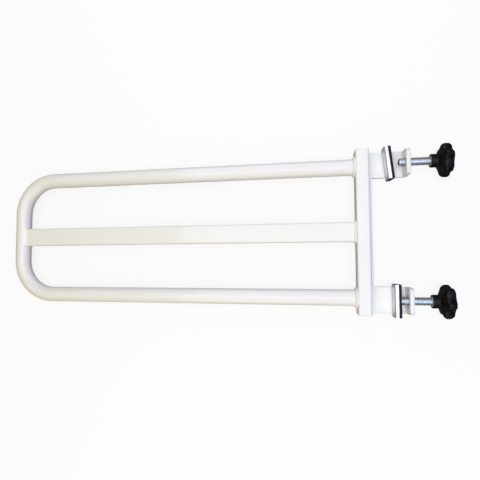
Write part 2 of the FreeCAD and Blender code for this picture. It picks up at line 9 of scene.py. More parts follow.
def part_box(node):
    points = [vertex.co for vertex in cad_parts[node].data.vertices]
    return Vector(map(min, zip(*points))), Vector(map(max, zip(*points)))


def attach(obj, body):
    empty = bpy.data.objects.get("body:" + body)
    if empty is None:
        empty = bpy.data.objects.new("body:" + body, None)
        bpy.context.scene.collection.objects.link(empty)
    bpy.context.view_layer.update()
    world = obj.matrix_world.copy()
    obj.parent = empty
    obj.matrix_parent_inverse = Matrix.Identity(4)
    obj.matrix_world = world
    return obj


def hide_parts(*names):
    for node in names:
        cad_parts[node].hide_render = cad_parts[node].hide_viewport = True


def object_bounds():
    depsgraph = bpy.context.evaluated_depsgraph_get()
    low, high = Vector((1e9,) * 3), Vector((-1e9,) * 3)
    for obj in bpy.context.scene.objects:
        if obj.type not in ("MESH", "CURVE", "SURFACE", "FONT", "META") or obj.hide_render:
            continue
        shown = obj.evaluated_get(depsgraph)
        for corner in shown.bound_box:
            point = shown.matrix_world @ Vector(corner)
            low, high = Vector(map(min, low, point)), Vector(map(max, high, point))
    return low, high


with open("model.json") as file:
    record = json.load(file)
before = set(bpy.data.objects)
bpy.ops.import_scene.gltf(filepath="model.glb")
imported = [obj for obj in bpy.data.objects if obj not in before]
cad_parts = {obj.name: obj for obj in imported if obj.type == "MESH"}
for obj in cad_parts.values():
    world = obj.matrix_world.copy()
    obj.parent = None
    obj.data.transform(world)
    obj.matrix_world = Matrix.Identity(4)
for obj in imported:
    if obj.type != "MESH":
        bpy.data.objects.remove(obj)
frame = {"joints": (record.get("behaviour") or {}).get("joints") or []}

cad_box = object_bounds()
MM = 0.001


# ---------------------------------------------------------------------------
# Studio
# A pale card floor under the frame, which lies on its knobs and the end of its
# loop. One broad lamp overhead gives most of the light. The others stand low in
# front, behind and beside the clamps, and all of them add up to near white.

FLOOR_SIZE = 9.0
FLOOR_WHITE = (0.96, 0.96, 0.96, 1)
FLOOR_CARD = (0.22, 0.205, 0.18, 1)
FLOOR_GLOW = 0.85
FLOOR_MIRRORED = 0.22
WHITE = (1, 1, 1, 1)
WORLD_COLOUR = (1.0, 0.77, 0.08, 1)
WORLD_STRENGTH = 0.28
CEILING_COLOUR = (0.94, 0.97, 1.0, 1)
CEILING_STRENGTH = 0.72
CEILING_DARK = 0.10
CEILING_EDGE = (0.30, 0.72)
LAMPS = (
    # name, place, aim, size, power in watts, colour
    ("overhead", (-0.15, 0.0, 1.3), (-0.15, 0.0, 0.0), 1.2, 10.0, (0.87, 0.88, 1.0)),
    ("front", (-0.15, -0.8, 1.0), (-0.15, 0.0, 0.0), 1.2, 1.7, (0.55, 1.0, 0.52)),
    ("cool_top", (-0.20, 0.90, 0.40), (-0.20, 0.0, 0.0), 0.8, 5.0, (0.62, 0.69, 1.0)),
    ("cool_right", (0.90, 0.0, 0.35), (0.38, 0.0, 0.0), 0.6, 2.6, (0.05, 0.08, 1.0)),
    ("cool_clamps", (0.25, -0.32, 0.70), (0.05, 0.0, 0.0), 0.5, 0.8, (0.05, 0.37, 1.0)),
    ("low_front", (-0.20, -0.90, 0.40), (-0.20, 0.0, 0.0), 0.8, 3.3, (0.99, 0.84, 1.0)),
)

CAMERA_PLACE = Vector((-87.70, -40.74, 607.51)) * MM
CAMERA_YAW = -0.183
CAMERA_PITCH = -0.050
CAMERA_ROLL = 0.005
CAMERA_LENS = 28.825

camera = bpy.data.objects.new("camera", bpy.data.cameras.new("camera"))
camera.data.lens = CAMERA_LENS
camera.data.sensor_width = 36.0
camera.data.clip_start = 0.01
facing = (Matrix.Rotation(CAMERA_ROLL, 4, "Z") @ Matrix.Rotation(CAMERA_PITCH, 4, "X")
          @ Matrix.Rotation(CAMERA_YAW, 4, "Y")).transposed()
camera.matrix_world = Matrix.Translation(CAMERA_PLACE) @ facing
bpy.context.scene.collection.objects.link(camera)
bpy.context.scene.camera = camera
bpy.context.scene.view_settings.view_transform = "Standard"

for lamp_name, place, aim, size, power, colour in LAMPS:
    light = bpy.data.lights.new(lamp_name, "AREA")
    light.size = size
    light.energy = power
    light.color = colour
    lamp = bpy.data.objects.new(lamp_name, light)
    lamp.location = place
    lamp.rotation_euler = (Vector(aim) - Vector(place)).to_track_quat("-Z", "Y").to_euler()
    bpy.context.scene.collection.objects.link(lamp)


class Shade:
    """The output of a node, which can be added, subtracted and multiplied."""

    def __init__(self, finish, socket):
        self.finish = finish
        self.socket = socket

    def maths(self, operation, first, second):
        return self.finish.add("ShaderNodeMath", {"operation": operation}, {0: first, 1: second})

    def __add__(self, other):
        return self.maths("ADD", self, other)

    def __radd__(self, other):
        return self.maths("ADD", other, self)

    def __sub__(self, other):
        return self.maths("SUBTRACT", self, other)

    def __rsub__(self, other):
        return self.maths("SUBTRACT", other, self)

    def __mul__(self, other):
        return self.maths("MULTIPLY", self, other)

    def __rmul__(self, other):
        return self.maths("MULTIPLY", other, self)


class Finish:
    """A material with one Principled shader, and one method that adds any other node."""

    def __init__(self, name, **sockets):
        self.material = bpy.data.materials.new(name)
        self.material.use_nodes = True
        self.tree = self.material.node_tree
        self.shader = self.tree.nodes["Principled BSDF"]
        self.place = self.add("ShaderNodeTexCoord", {}, {}, "Object")
        for socket, value in sockets.items():
            self.put(self.shader.inputs[socket.replace("_", " ")], value)

    def put(self, socket, value):
        if isinstance(value, Shade):
            self.tree.links.new(value.socket, socket)
        else:
            socket.default_value = value

    def add(self, kind, settings, sockets, output=0):
        node = self.tree.nodes.new(kind)
        for name, value in settings.items():
            if name == "stops":
                ramp = node.color_ramp
                for element, (at, grey) in zip(ramp.elements, value):
                    element.position = at
                    element.color = (grey, grey, grey, 1)
            else:
                setattr(node, name, value)
        for key, value in sockets.items():
            self.put(node.inputs[key], value)
        return Shade(self, node.outputs[output])

    def ray(self, kind):
        return self.add("ShaderNodeLightPath", {}, {}, kind)

    def noise(self, scale, detail=2.0):
        """Noise over object coordinates, which scale stretches along each axis."""
        scaled = self.add("ShaderNodeVectorMath", {"operation": "MULTIPLY"},
                          {0: self.place, 1: scale})
        return self.add("ShaderNodeTexNoise", {}, {
            "Vector": scaled, "Scale": 1.0, "Detail": detail, "Roughness": 0.5})

    def ramp(self, value, low, high, dark=0.0, light=1.0):
        """Zero-to-one values stretched between two stops."""
        stops = ((low, dark), (high, light))
        return self.add("ShaderNodeValToRGB", {"stops": stops}, {"Fac": value})

    def mixed(self, factor, first, second):
        return self.add("ShaderNodeMix", {"data_type": "RGBA"}, {
            "Factor": factor, 6: first, 7: second}, 2)

    def set(self, socket, value):
        self.put(self.shader.inputs[socket], value)

    def bump(self, height, strength, distance):
        self.set("Normal", self.add("ShaderNodeBump", {}, {
            "Height": height, "Strength": strength, "Distance": distance}))


class Sky(Finish):
    """The world's nodes, added by the same method as a material's."""

    def __init__(self, name):
        world = bpy.data.worlds.new(name)
        world.use_nodes = True
        self.tree = world.node_tree
        self.shader = self.tree.nodes["Background"]
        bpy.context.scene.world = world


def light_the_world():
    """White behind the floor, faint light on the object, a soft ceiling for metal."""
    sky = Sky("studio")
    camera_ray = sky.ray("Is Camera Ray")
    glossy_ray = sky.ray("Is Glossy Ray")
    direction = sky.add("ShaderNodeTexCoord", {}, {}, "Generated")
    up = sky.add("ShaderNodeSeparateXYZ", {}, {0: direction}, "Z")
    ceiling = sky.ramp(up, *CEILING_EDGE, CEILING_DARK, CEILING_STRENGTH)
    sky.set("Color", sky.mixed(camera_ray, sky.mixed(glossy_ray, WORLD_COLOUR, CEILING_COLOUR),
                               WHITE))
    sky.set("Strength", camera_ray + glossy_ray * ceiling
            + (1 - camera_ray - glossy_ray) * WORLD_STRENGTH)


def floor_material():
    """White to the camera and pale in reflections, a grey card to the rest of the light."""
    finish = Finish("floor_card", Roughness=0.9)
    finish.set("Specular IOR Level", 0.0)
    camera_ray = finish.ray("Is Camera Ray")
    seen = (camera_ray + FLOOR_MIRRORED * finish.ray("Is Glossy Ray")
            + FLOOR_MIRRORED * finish.ray("Is Transmission Ray"))
    finish.set("Base Color", finish.mixed(camera_ray, FLOOR_CARD, FLOOR_WHITE))
    white = finish.add("ShaderNodeEmission", {}, {"Color": WHITE, "Strength": 1.0})
    lit = Shade(finish, finish.shader.outputs[0])
    surface = finish.add("ShaderNodeMixShader", {}, {0: seen * FLOOR_GLOW, 1: lit, 2: white})
    finish.put(finish.tree.nodes["Material Output"].inputs["Surface"], surface)
    return finish.material


light_the_world()
floor_mesh = bpy.data.meshes.new("floor")
bm = bmesh.new()
bmesh.ops.create_grid(bm, x_segments=1, y_segments=1, size=FLOOR_SIZE / 2,
                      matrix=Matrix.Translation((0, 0, cad_box[0].z)))
bm.to_mesh(floor_mesh)
bm.free()
floor_mesh.materials.append(floor_material())
floor = bpy.data.objects.new("floor", floor_mesh)
bpy.context.scene.collection.objects.link(floor)


# ---------------------------------------------------------------------------
# Long U tube
# Round steel tube, bent twice on a former into one long U and powder coated
# white with the rest of the welded frame. Its ends butt on the cross tube.

TUBE_SIDES = 64
BEND_RADIUS = 60 * MM
BEND_STEPS = 28
COAT_WHITE = (0.91, 0.905, 0.875, 1)
COAT_CREAM = (0.87, 0.85, 0.79, 1)


def coat_material():
    """Gloss powder coat: soft orange peel, faint creamy patches, fine dust."""
    finish = Finish("powder_coat", IOR=1.5)
    finish.set("Specular IOR Level", 0.15)
    patch = finish.ramp(finish.noise((9, 9, 9), 3.0), 0.35, 0.75)
    speck = finish.ramp(finish.noise((900, 900, 900), 1.0), 0.68, 0.76)
    tone = finish.mixed(patch * 0.35, COAT_WHITE, COAT_CREAM)
    finish.set("Base Color", finish.mixed(speck * 0.10, tone, COAT_CREAM))
    finish.set("Roughness", 0.44 + patch * 0.08 + speck * 0.1)
    finish.set("Coat Weight", 0.90)
    finish.set("Coat Roughness", 0.03)
    peel = finish.noise((520, 520, 520), 2.0)
    finish.bump(peel, 0.10, 0.25 * MM)
    return finish.material


coat = coat_material()


def shown(bm, name, nodes, body, material, sharp=35.0):
    """Turn a finished bmesh into the piece that stands for the given CAD nodes."""
    mesh = bpy.data.meshes.new(name)
    bm.to_mesh(mesh)
    bm.free()
    mesh.materials.append(material)
    mesh.shade_smooth()
    mesh.set_sharp_from_angle(angle=math.radians(sharp))
    piece = bpy.data.objects.new(name, mesh)
    bpy.context.scene.collection.objects.link(piece)
    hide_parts(*nodes)
    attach(piece, body)
    return piece


def edges_in(geometry):
    return [item for item in geometry if isinstance(item, bmesh.types.BMEdge)]


def verts_in(geometry):
    return [item for item in geometry if isinstance(item, bmesh.types.BMVert)]


def pushed(bm, edges, step):
    """Extrude an edge loop by a step and return the new loop."""
    made = bmesh.ops.extrude_edge_only(bm, edges=edges)["geom"]
    bmesh.ops.translate(bm, vec=step, verts=verts_in(made))
    return [e for e in edges_in(made) if all(v in made for v in e.verts)]


def bent(bm, edges, centre):
    """Sweep an edge loop round a quarter bend and return the new loop."""
    verts = list(dict.fromkeys(v for e in edges for v in e.verts))
    made = bmesh.ops.spin(bm, geom=verts + edges, cent=centre, axis=(0, 0, 1),
                          angle=math.pi / 2, steps=BEND_STEPS, use_duplicate=False)
    return edges_in(made["geom_last"])


tube_low, tube_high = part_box("u_tube")
tube_radius = (tube_high.z - tube_low.z) / 2
rail_level = (tube_high.z + tube_low.z) / 2
leg_height = tube_high.y - tube_radius
loop_end = tube_low.x + tube_radius
wall_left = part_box("cross_tube")[0].x


def make_u_tube():
    bm = bmesh.new()
    start = Matrix.Translation((wall_left, leg_height, rail_level))
    bmesh.ops.create_circle(bm, segments=TUBE_SIDES, radius=tube_radius,
                            matrix=start @ Matrix.Rotation(math.pi / 2, 4, "Y"))
    first = bm.edges[:]
    centre_x = loop_end + BEND_RADIUS
    centre_y = leg_height - BEND_RADIUS
    leg = Vector((centre_x - wall_left, 0, 0))
    loop = pushed(bm, first, leg)
    loop = bent(bm, loop, (centre_x, centre_y, rail_level))
    loop = pushed(bm, loop, Vector((0, -2 * centre_y, 0)))
    loop = bent(bm, loop, (centre_x, -centre_y, rail_level))
    last = pushed(bm, loop, -leg)
    bmesh.ops.contextual_create(bm, geom=first)
    bmesh.ops.contextual_create(bm, geom=last)
    bmesh.ops.recalc_face_normals(bm, faces=bm.faces)
    return shown(bm, "long_u_tube", ["u_tube"], "frame", coat)


make_u_tube()


# ---------------------------------------------------------------------------
# Flat middle bar
# Rectangular tube with rounded corners, welded to the cross tube at one end
# and coped to sit on the round tube of the U at the other.

BAR_CORNER = 3 * MM
CORNER_STEPS = 6
BAR_TUCK = 0.98
PARALLEL = 0.9


def bevelled(bm, edges, offset, segments):
    bmesh.ops.bevel(bm, geom=edges, offset=offset, offset_type="OFFSET", affect="EDGES",
                    segments=segments, profile=0.5, material=-1)


def block(low, high, axis, corner):
    """A box whose four edges along one axis are rounded."""
    bm = bmesh.new()
    low, high = Vector(low), Vector(high)
    size = Matrix.Diagonal((*(high - low), 1))
    bmesh.ops.create_cube(bm, size=1, matrix=Matrix.Translation((low + high) / 2) @ size)
    along = [e for e in bm.edges
             if abs((e.verts[0].co - e.verts[1].co).normalized()[axis]) > PARALLEL]
    bevelled(bm, along, corner, CORNER_STEPS)
    return bm


def make_middle_bar():
    low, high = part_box("middle_bar")
    low.x = loop_end
    bm = block(low, high, 0, BAR_CORNER)
    for vert in bm.verts:
        if vert.co.x < (low.x + high.x) / 2:
            off = vert.co.z - rail_level
            vert.co.x = loop_end + math.sqrt(tube_radius ** 2 - off ** 2) * BAR_TUCK
    return shown(bm, "flat_middle_bar", ["middle_bar"], "frame", coat)


make_middle_bar()


# ---------------------------------------------------------------------------
# Cross tube and its end plugs
# Upright rectangular tube, cut square. A moulded white cap with a soft rounded
# edge is pushed into each end.

CROSS_CORNER = 3 * MM
CAP_THICKNESS = 1.2 * MM
CAP_SOFTENING = 0.9 * MM
CAP_STEPS = 4
SAME_PLACE = 1e-6
PLUG_WHITE = (0.88, 0.87, 0.84, 1)


def make_cross_tube():
    low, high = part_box("cross_tube")
    bm = block(low, high, 1, CROSS_CORNER)
    return shown(bm, "upright_cross_tube", ["cross_tube"], "frame", coat)


def plug_material():
    finish = Finish("moulded_white", Base_Color=PLUG_WHITE)
    finish.bump(finish.noise((700, 700, 700)), 0.08, 0.2 * MM)
    finish.set("Roughness", 0.28 + finish.noise((60, 60, 60)) * 0.12)
    return finish.material


def make_end_plug(node, side, material):
    cross_low, cross_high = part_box("cross_tube")
    low, high = Vector(cross_low), Vector(cross_high)
    if side > 0:
        low.y, high.y = cross_high.y, cross_high.y + CAP_THICKNESS
    else:
        low.y, high.y = cross_low.y - CAP_THICKNESS, cross_low.y
    bm = block(low, high, 1, CROSS_CORNER)
    outside = high.y if side > 0 else low.y
    rim = [e for e in bm.edges if all(abs(v.co.y - outside) < SAME_PLACE for v in e.verts)]
    bevelled(bm, rim, CAP_SOFTENING, CAP_STEPS)
    return shown(bm, node.replace("plug", "cap"), [node], "frame", material)


make_cross_tube()
plug_white = plug_material()
make_end_plug("upper_end_plug", 1, plug_white)
make_end_plug("lower_end_plug", -1, plug_white)


# ---------------------------------------------------------------------------
# Clamp bracket
# One steel plate cut to a C: a narrow spine along the cross tube and two arms,
# each folded up at its end into a flange that is tapped for the clamp screw.

SPINE_WIDTH = 6 * MM
ARM_WIDTH = 40 * MM
ROOT_RADIUS = 2.5 * MM
ROOT_STEPS = 5
PLATE = 6 * MM
FOLD_INSIDE = 3 * MM
FLANGE_TAPER = 1 * MM
FLANGE_CORNER = 4.5 * MM
FOLD_STEPS = 8
EDGE_SOFTENING = 0.55 * MM
EDGE_STEPS = 3
SHARP_EDGE = math.radians(40)
BORE_PLAY = 0.1 * MM
BORE_SIDES = 64


def prism(points, step):
    """A flat outline drawn out along a step."""
    bm = bmesh.new()
    face = bm.faces.new([bm.verts.new(point) for point in points])
    made = bmesh.ops.extrude_face_region(bm, geom=[face])["geom"]
    bmesh.ops.translate(bm, vec=step, verts=verts_in(made))
    return bm


def bored(bm, start, finish, radius):
    """Cut a round hole along X out of a bmesh and return what is left."""
    hole = bmesh.new()
    middle = Matrix.Translation((start + finish) / 2) @ Matrix.Rotation(math.pi / 2, 4, "Y")
    bmesh.ops.create_cone(hole, cap_ends=True, segments=BORE_SIDES, radius1=radius,
                          radius2=radius, depth=finish.x - start.x, matrix=middle)
    blanks = []
    for part in (bm, hole):
        mesh = bpy.data.meshes.new("blank")
        part.to_mesh(mesh)
        part.free()
        blank = bpy.data.objects.new("blank", mesh)
        bpy.context.scene.collection.objects.link(blank)
        blanks.append(blank)
    cut = blanks[0].modifiers.new("hole", "BOOLEAN")
    cut.object = blanks[1]
    cut.solver = "EXACT"
    left = bmesh.new()
    left.from_object(blanks[0], bpy.context.evaluated_depsgraph_get())
    for blank in blanks:
        mesh = blank.data
        bpy.data.objects.remove(blank)
        bpy.data.meshes.remove(mesh)
    return left


def fold_up(bm, face, fold_start, fold_level, top):
    """Fold an arm's end through a quarter turn and draw it up, narrowing a little."""
    folded = bmesh.ops.spin(bm, geom=[face, *face.edges, *face.verts],
                            cent=(fold_start, 0, fold_level), axis=(0, -1, 0),
                            angle=math.pi / 2, steps=FOLD_STEPS)["geom_last"]
    tip = [item for item in folded if isinstance(item, bmesh.types.BMFace)]
    raised = verts_in(bmesh.ops.extrude_face_region(bm, geom=tip)["geom"])
    bmesh.ops.translate(bm, vec=(0, 0, top - fold_level), verts=raised)
    middle = sum(v.co.y for v in raised) / len(raised)
    for vert in raised:
        vert.co.y -= math.copysign(FLANGE_TAPER, vert.co.y - middle)


def make_bracket():
    low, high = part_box("clamp_bracket")
    fold_start = high.x - PLATE - FOLD_INSIDE
    inner = high.y - ARM_WIDTH
    outline = ((0, low.y), (fold_start, low.y), (fold_start, -inner), (SPINE_WIDTH, -inner),
               (SPINE_WIDTH, inner), (fold_start, inner), (fold_start, high.y), (0, high.y))
    bm = prism([(x, y, low.z) for x, y in outline], (0, 0, PLATE))
    roots = [e for e in bm.edges if all(
        abs(v.co.x - SPINE_WIDTH) < SAME_PLACE and abs(abs(v.co.y) - inner) < SAME_PLACE
        for v in e.verts)]
    bevelled(bm, roots, ROOT_RADIUS, ROOT_STEPS)
    ends = [f for f in bm.faces
            if all(abs(v.co.x - fold_start) < SAME_PLACE for v in f.verts)]
    for face in ends:
        fold_up(bm, face, fold_start, low.z + PLATE + FOLD_INSIDE, high.z)
    corners = [e for e in bm.edges
               if all(abs(v.co.z - high.z) < SAME_PLACE for v in e.verts)
               and abs(e.verts[0].co.x - e.verts[1].co.x) > PLATE / 2]
    bevelled(bm, corners, FLANGE_CORNER, CORNER_STEPS)
    bmesh.ops.recalc_face_normals(bm, faces=bm.faces)
    screw_low, screw_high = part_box("upper_screw")
    radius = (screw_high.z - screw_low.z) / 2 + BORE_PLAY
    for side in (1, -1):
        height = (screw_high.y + screw_low.y) / 2 * side
        bm = bored(bm, Vector((high.x - 2 * PLATE, height, 0)),
                   Vector((high.x + PLATE, height, 0)), radius)
    sharp = [e for e in bm.edges
             if len(e.link_faces) == 2 and e.calc_face_angle() > SHARP_EDGE]
    bevelled(bm, sharp, EDGE_SOFTENING, EDGE_STEPS)
    return shown(bm, "folded_bracket", ["clamp_bracket"], "frame", coat)


make_bracket()


# ---------------------------------------------------------------------------
# Weld beads
# Rings where the legs and the bar meet the cross tube, a bead round the bar's
# coped end, and stitches along the bracket's spine. All are coated over, so
# only a soft ripple is left of the weld.

RING_BEAD = 2.9 * MM
BAR_BEAD = 2.6 * MM
STITCH_BEAD = 2.5 * MM
GROOVE_BEAD = 1.7 * MM
STITCH_LENGTH = 44 * MM
STITCH_SPACING = 92 * MM
RING_OUT = RING_BEAD / 7
RING_STEPS = 120
BEAD_SIDES = 20
# Shares of a bead's radius, or of the bar's corner, by which it stands in or out.
WALL_SINK = 0.3
CORNER_INSET = 0.3
STITCH_OUT = 0.28
GROOVE_IN = 0.6
GROOVE_UP = 0.7
RIPPLE = 0.07
RIPPLE_PITCH = 2.6 * MM
WAVE_SHARE = 0.55
LUMPS_PER_METRE = 260
CUTS_PER_RIPPLE = 4
TINY = 1e-7
COPE_SOFT = 1.7 * MM
COPE_REACH = 26 * MM
COPE_SINK = 0.09 * MM
COPE_INSET = 0.1 * MM
COPE_STEPS = 56


def rippled(bm, centre_of, phase_of):
    """Swell and pinch a bead along its run, a little unevenly."""
    for vert in bm.verts:
        centre = centre_of(vert.co)
        wave = math.sin(phase_of(vert.co) * 2 * math.pi / RIPPLE_PITCH)
        lump = noise.noise(vert.co * LUMPS_PER_METRE)
        vert.co = centre + (vert.co - centre) * (1 + RIPPLE * (WAVE_SHARE * wave + lump))


def ring_bead(leg):
    """A full ring round one leg of the U."""
    bm = bmesh.new()
    major = tube_radius + RING_OUT
    middle = Vector((wall_left - RING_BEAD * WALL_SINK, leg, rail_level))
    start = Matrix.Translation(middle + Vector((0, major, 0)))
    bmesh.ops.create_circle(bm, segments=BEAD_SIDES, radius=RING_BEAD, matrix=start)
    bmesh.ops.spin(bm, geom=bm.verts[:] + bm.edges[:], cent=middle, axis=(1, 0, 0),
                   angle=2 * math.pi, steps=RING_STEPS, use_merge=True)
    bmesh.ops.recalc_face_normals(bm, faces=bm.faces)

    def centre_of(point):
        away = Vector((0, point.y - middle.y, point.z - middle.z)).normalized()
        return middle + away * major

    rippled(bm, centre_of,
            lambda point: math.atan2(point.z - middle.z, point.y - middle.y) * major)
    return bm


def straight_bead(start, finish, radius):
    """A capsule of weld from start to finish."""
    bm = bmesh.new()
    along = finish - start
    turn = Vector((0, 0, 1)).rotation_difference(along).to_matrix().to_4x4()
    bmesh.ops.create_uvsphere(bm, u_segments=BEAD_SIDES, v_segments=BEAD_SIDES // 2,
                              radius=radius)
    top = [v for v in bm.verts if v.co.z > TINY]
    bmesh.ops.translate(bm, vec=(0, 0, along.length), verts=top)
    sides = [e for e in bm.edges if abs(e.verts[0].co.z - e.verts[1].co.z) > along.length / 2]
    cuts = max(int(along.length / RIPPLE_PITCH * CUTS_PER_RIPPLE), 1)
    bmesh.ops.subdivide_edges(bm, edges=sides, cuts=cuts)
    bmesh.ops.transform(bm, matrix=Matrix.Translation(start) @ turn, verts=bm.verts)
    direction = along.normalized()

    def centre_of(point):
        reach = min(max((point - start).dot(direction), 0), along.length)
        return start + direction * reach

    rippled(bm, centre_of, lambda point: (point - start).dot(direction))
    return bm


def merged(parts):
    """One bmesh that holds several loose parts."""
    whole = bmesh.new()
    for part in parts:
        mesh = bpy.data.meshes.new("part")
        part.to_mesh(mesh)
        part.free()
        whole.from_mesh(mesh)
        bpy.data.meshes.remove(mesh)
    return whole


def cope_filler(side):
    """Weld dressed smooth from the tube's round face onto the bar's flat one."""
    bar_low, bar_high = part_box("middle_bar")
    bar_half = (bar_high.y - bar_low.y) / 2
    bar_face = bar_high.z - rail_level
    bm = bmesh.new()
    bmesh.ops.create_grid(bm, x_segments=COPE_STEPS, y_segments=COPE_STEPS, size=0.5)
    for vert in bm.verts:
        x = (vert.co.x + 0.5) * COPE_REACH
        y = vert.co.y * 2 * (bar_half - COPE_INSET)
        over = max(abs(y) - (bar_half - BAR_CORNER), 0)
        tube = math.sqrt(max(tube_radius ** 2 - x ** 2, 0))
        bar = bar_face - BAR_CORNER + math.sqrt(BAR_CORNER ** 2 - over ** 2)
        blend = COPE_SOFT * math.log(math.exp(tube / COPE_SOFT) + math.exp(bar / COPE_SOFT))
        vert.co = (loop_end + x, y, rail_level + side * (blend - COPE_SINK))
    rim = [e for e in bm.edges if e.is_boundary]
    made = bmesh.ops.extrude_edge_only(bm, edges=rim)["geom"]
    for vert in verts_in(made):
        vert.co.z = rail_level
    bmesh.ops.holes_fill(bm, edges=[e for e in bm.edges if e.is_boundary], sides=0)
    bmesh.ops.recalc_face_normals(bm, faces=bm.faces)
    return bm


def make_rail_welds():
    bar_low, bar_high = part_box("middle_bar")
    parts = [ring_bead(leg_height), ring_bead(-leg_height), cope_filler(1), cope_filler(-1)]
    inset = BAR_CORNER * CORNER_INSET
    reach = math.sqrt(tube_radius ** 2 - (bar_high.z - rail_level) ** 2)
    for x, runs in ((wall_left - BAR_BEAD * WALL_SINK, (0, 1, 2, 3)),
                    (loop_end + reach, (1, 3))):
        corners = [Vector((x, y, z)) for y, z in (
            (bar_low.y + inset, bar_low.z + inset), (bar_high.y - inset, bar_low.z + inset),
            (bar_high.y - inset, bar_high.z - inset), (bar_low.y + inset, bar_high.z - inset))]
        for run in runs:
            parts.append(straight_bead(corners[run], corners[(run + 1) % 4], BAR_BEAD))
    return shown(merged(parts), "frame_weld_beads", ["rail_welds"], "frame",
                 coat)


def make_bracket_welds():
    plate_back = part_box("clamp_bracket")[0].z
    plate_front = plate_back + PLATE
    rows = (
        (STITCH_BEAD, STITCH_BEAD * STITCH_OUT, plate_front + STITCH_BEAD * STITCH_OUT),
        (GROOVE_BEAD, -GROOVE_BEAD * GROOVE_IN, plate_back + GROOVE_BEAD * GROOVE_UP),
    )
    parts = []
    for radius, across, level in rows:
        for number in (-1, 0, 1):
            middle = Vector((across, STITCH_SPACING * number, level))
            half = Vector((0, STITCH_LENGTH / 2, 0))
            parts.append(straight_bead(middle - half, middle + half, radius))
    return shown(merged(parts), "spine_weld_stitches", ["bracket_welds"], "frame",
                 coat)


make_rail_welds()
make_bracket_welds()


# ---------------------------------------------------------------------------
# Clamp screws and swivel buttons
# M12 screws, zinc plated, threaded from the tip to the knob. The button on the
# tip is turned steel with a slightly crowned face.

CLAMPS = ("upper", "lower")
THREAD_PITCH = 1.75 * MM
THREAD_DEPTH = 1.07 * MM
THREAD_ROWS = (0.0, 0.16, 0.46, 0.70)
CREST_ROWS = 2
THREAD_SIDES = 48
THREAD_RUNOUT = THREAD_PITCH / 3
BUTTON_GAP = 0.1 * MM
TURN_STEPS = 96
SHANK_IN_KNOB = 6 * MM
ZINC = (0.74, 0.76, 0.79, 1)
ZINC_DULL = (0.54, 0.55, 0.57, 1)
# Edge tint of the zinc: a painted dark reflection along the grazing edges of the screws and
# buttons.
PAINTED_DARK_EDGE_TINT = (0.18, 0.18, 0.20, 1)
BUTTON_BEVEL = 0.4 * MM
BUTTON_DOME = 9.8 * MM

joint_places = {joint["name"]: Vector(joint["pos_m"])
                for joint in frame["joints"] if "pos_m" in joint}


def zinc_material():
    """Bright zinc plate with a faint cloudy passivation, and a dark edge tint that paints a dark
    reflection along the grazing edges.
    """
    finish = Finish("zinc_plate", Metallic=1.0, Specular_Tint=PAINTED_DARK_EDGE_TINT)
    cloud = finish.ramp(finish.noise((160, 160, 160), 3.0), 0.35, 0.7)
    finish.set("Base Color", finish.mixed(cloud * 0.6, ZINC, ZINC_DULL))
    finish.set("Roughness", 0.24 + cloud * 0.14)
    finish.bump(finish.noise((2600, 2600, 2600)), 0.05, 0.1 * MM)
    return finish.material


zinc = zinc_material()


def make_screw(clamp):
    """A sheared grid is wrapped round the axis, so that its rows follow the helix."""
    axis = joint_places[f"{clamp}_turn"]
    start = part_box(f"{clamp}_tip_button")[1].x + BUTTON_GAP
    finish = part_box(f"{clamp}_knob")[0].x + SHANK_IN_KNOB
    radius = (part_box(f"{clamp}_screw")[1].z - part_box(f"{clamp}_screw")[0].z) / 2
    turns = math.ceil((finish - start) / THREAD_PITCH) + 1
    rows = turns * len(THREAD_ROWS)
    bm = bmesh.new()
    bmesh.ops.create_grid(bm, x_segments=rows, y_segments=THREAD_SIDES, size=0.5)
    for vert in bm.verts:
        row = round((vert.co.x + 0.5) * rows)
        side = round((vert.co.y + 0.5) * THREAD_SIDES)
        share = side / THREAD_SIDES
        step = THREAD_ROWS[row % len(THREAD_ROWS)]
        x = start + (row // len(THREAD_ROWS) + step + share - 1) * THREAD_PITCH
        deep = row % len(THREAD_ROWS) >= CREST_ROWS or x < start + THREAD_RUNOUT
        around = share * 2 * math.pi
        r = radius - THREAD_DEPTH if deep else radius
        vert.co = Vector((min(max(x, start), finish),
                          axis.y + r * math.cos(around), axis.z + r * math.sin(around)))
    bmesh.ops.remove_doubles(bm, verts=bm.verts, dist=TINY)
    bmesh.ops.holes_fill(bm, edges=bm.edges, sides=0)
    bmesh.ops.recalc_face_normals(bm, faces=bm.faces)
    return shown(bm, f"{clamp}_threaded_screw", [f"{clamp}_screw"], f"{clamp}_screw_body",
                 zinc, sharp=30)


def turned(points, axis, steps=TURN_STEPS):
    """Spin an outline of (along, radius) points round the clamp's axis."""
    bm = bmesh.new()
    verts = [bm.verts.new((x, axis.y, axis.z + r)) for x, r in points]
    edges = [bm.edges.new(pair) for pair in zip(verts, verts[1:])]
    bmesh.ops.spin(bm, geom=verts + edges, cent=axis, axis=(1, 0, 0),
                   angle=2 * math.pi, steps=steps, use_merge=True)
    bmesh.ops.remove_doubles(bm, verts=bm.verts, dist=TINY)
    bmesh.ops.recalc_face_normals(bm, faces=bm.faces)
    return bm


def arc(x, r, radius, begin, end, steps):
    """Points on an arc about (x, r); angles in degrees from the axis."""
    angles = [math.radians(begin + (end - begin) * n / steps) for n in range(steps + 1)]
    return [(x + radius * math.cos(a), r + radius * math.sin(a)) for a in angles]


def make_tip_button(clamp):
    low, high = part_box(f"{clamp}_tip_button")
    axis = joint_places[f"{clamp}_turn"]
    radius = (high.z - low.z) / 2
    edge = math.degrees(math.asin(radius / BUTTON_DOME))
    face = arc(low.x + BUTTON_DOME, 0, BUTTON_DOME, 180, 180 - edge, steps=10)
    points = face + arc(high.x - BUTTON_BEVEL, radius - BUTTON_BEVEL, BUTTON_BEVEL, 90, 0,
                        steps=3)
    points.append((high.x, 0))
    points[0] = (low.x, 0)
    return shown(turned(points, axis), f"{clamp}_swivel_button", [f"{clamp}_tip_button"],
                 f"{clamp}_button_body", zinc)


for clamp in CLAMPS:
    make_screw(clamp)
    make_tip_button(clamp)


